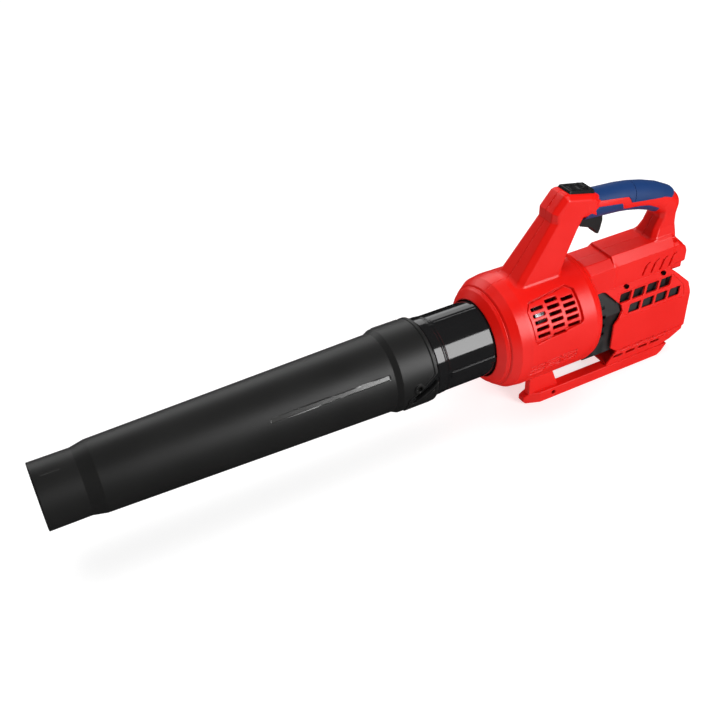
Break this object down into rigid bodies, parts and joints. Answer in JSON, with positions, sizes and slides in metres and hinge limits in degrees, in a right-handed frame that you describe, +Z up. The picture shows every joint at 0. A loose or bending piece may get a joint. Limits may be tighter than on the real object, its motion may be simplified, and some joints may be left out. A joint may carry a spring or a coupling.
{
  "type": "leaf blower",
  "caption": "Hand-held cordless leaf blower: twist-on tube, ducted fan with motor, loop handle with trigger, slide-out battery pack in a guard, standing on two runners.",
  "frame": {"origin": "middle of the whole object in plan, on the ground under the runners", "axes": "+X from the nozzle to the battery along the tube axis, +Z up, +Y to the side away from the one shown"},
  "size_m": [0.857, 0.146, 0.2823],
  "materials": {
    "tube_black": "fine moulded texture, matte",
    "duct_gloss": "polished moulding, glossy",
    "shell_red": "satin moulded ABS",
    "grip_blue": "soft overmoulded grip, fine grain",
    "trim_black": "fine moulded texture",
    "pack_black": "fine moulded texture",
    "pack_grey": "fine moulded texture",
    "fan_nylon": "glass-filled nylon",
    "seal_rubber": "soft rubber",
    "steel": "zinc plated or ground",
    "lamination": "stacked electrical steel",
    "magnet": "plated magnet",
    "copper_wire": "enamelled copper wire",
    "contact_brass": "stamped brass",
    "aluminium": "extruded, anodised",
    "cell_skin": "shrink sleeve over a cell can",
    "nickel": "nickel strip",
    "board_green": "solder mask over glass fibre",
    "parts_dark": "moulded electronic parts",
    "wire_red": "silicone wire insulation",
    "lens_grey": "clear polycarbonate window"
  },
  "bodies": {
    "root": {"duct_tube": "duct_gloss", "stator_vanes": "trim_black", "motor_bracket": "trim_black", "motor_can": "steel", "end_bell": "aluminium", "motor_core": "lamination", "motor_windings": "copper_wire", "bearing_front": "steel", "bearing_rear": "steel", "motor_screws": "steel", "housing_left": "shell_red", "housing_right": "shell_red", "front_ring": "shell_red", "grip_top": "grip_blue", "grip_bottom": "grip_blue", "housing_screws": "steel", "cradle": "trim_black", "guard_left": "shell_red", "guard_right": "shell_red", "guard_screws": "steel", "foot_rail_left": "shell_red", "foot_rail_right": "shell_red", "foot_screws": "steel", "trigger_pin": "steel", "trigger_switch": "parts_dark", "switch_bezel": "trim_black", "rocker_pin": "steel", "control_board": "board_green", "board_parts": "parts_dark", "heat_sink": "aluminium", "terminal_block": "parts_dark", "terminal_blades": "contact_brass", "wiring": "wire_red"},
    "rotor": {"fan": "fan_nylon", "fan_nut": "steel", "motor_shaft": "steel", "rotor_core": "lamination", "rotor_magnets": "magnet"},
    "trigger_lever": {"trigger": "trim_black", "trigger_spring": "steel"},
    "rocker": {"speed_rocker": "trim_black"},
    "seal": {"tube_seal": "seal_rubber"},
    "tube": {"blower_tube": "tube_black"},
    "battery": {"battery_upper": "pack_black", "battery_lower": "pack_grey", "battery_cells": "cell_skin", "cell_straps": "nickel", "battery_contacts": "contact_brass", "battery_board": "board_green", "battery_screws": "steel", "gauge_lens": "lens_grey"},
    "latch": {"battery_latch": "pack_grey"},
    "gauge": {"gauge_button": "pack_grey"}
  },
  "joints": [
    {"name": "tube_pull", "type": "slide", "parent": "root", "child": "seal", "axis": [-1, 0, 0], "range_m": [0, 0.038]},
    {"name": "tube_twist", "type": "hinge", "parent": "seal", "child": "tube", "pos_m": [0.0015, 0, 0.112], "axis": [1, 0, 0], "range_deg": [0, 26]},
    {"name": "fan_spin", "type": "hinge", "parent": "root", "child": "rotor", "pos_m": [0.1715, 0, 0.112], "axis": [1, 0, 0], "continuous": true},
    {"name": "trigger_pull", "type": "hinge", "parent": "root", "child": "trigger_lever", "pos_m": [0.2555, 0, 0.248], "axis": [0, -1, 0], "range_deg": [0, 10], "stiffness_Nm_per_rad": 0.6},
    {"name": "speed_rock", "type": "hinge", "parent": "root", "child": "rocker", "pos_m": [0.2467, 0, 0.27353], "axis": [0, 1, 0], "range_deg": [0, 8]},
    {"name": "battery_slide", "type": "slide", "parent": "root", "child": "battery", "axis": [1, 0, 0], "range_m": [0, 0.12]},
    {"name": "latch_press", "type": "slide", "parent": "battery", "child": "latch", "axis": [-1, 0, 0], "range_m": [0, 0.002], "stiffness_N_per_m": 900},
    {"name": "gauge_press", "type": "slide", "parent": "battery", "child": "gauge", "axis": [-1, 0, 0], "range_m": [0, 0.001], "stiffness_N_per_m": 1200}
  ],
  "couplings": [
    {"joint": "tube_twist", "follows": "tube_pull", "rad_per_m": 11.942}
  ]
}
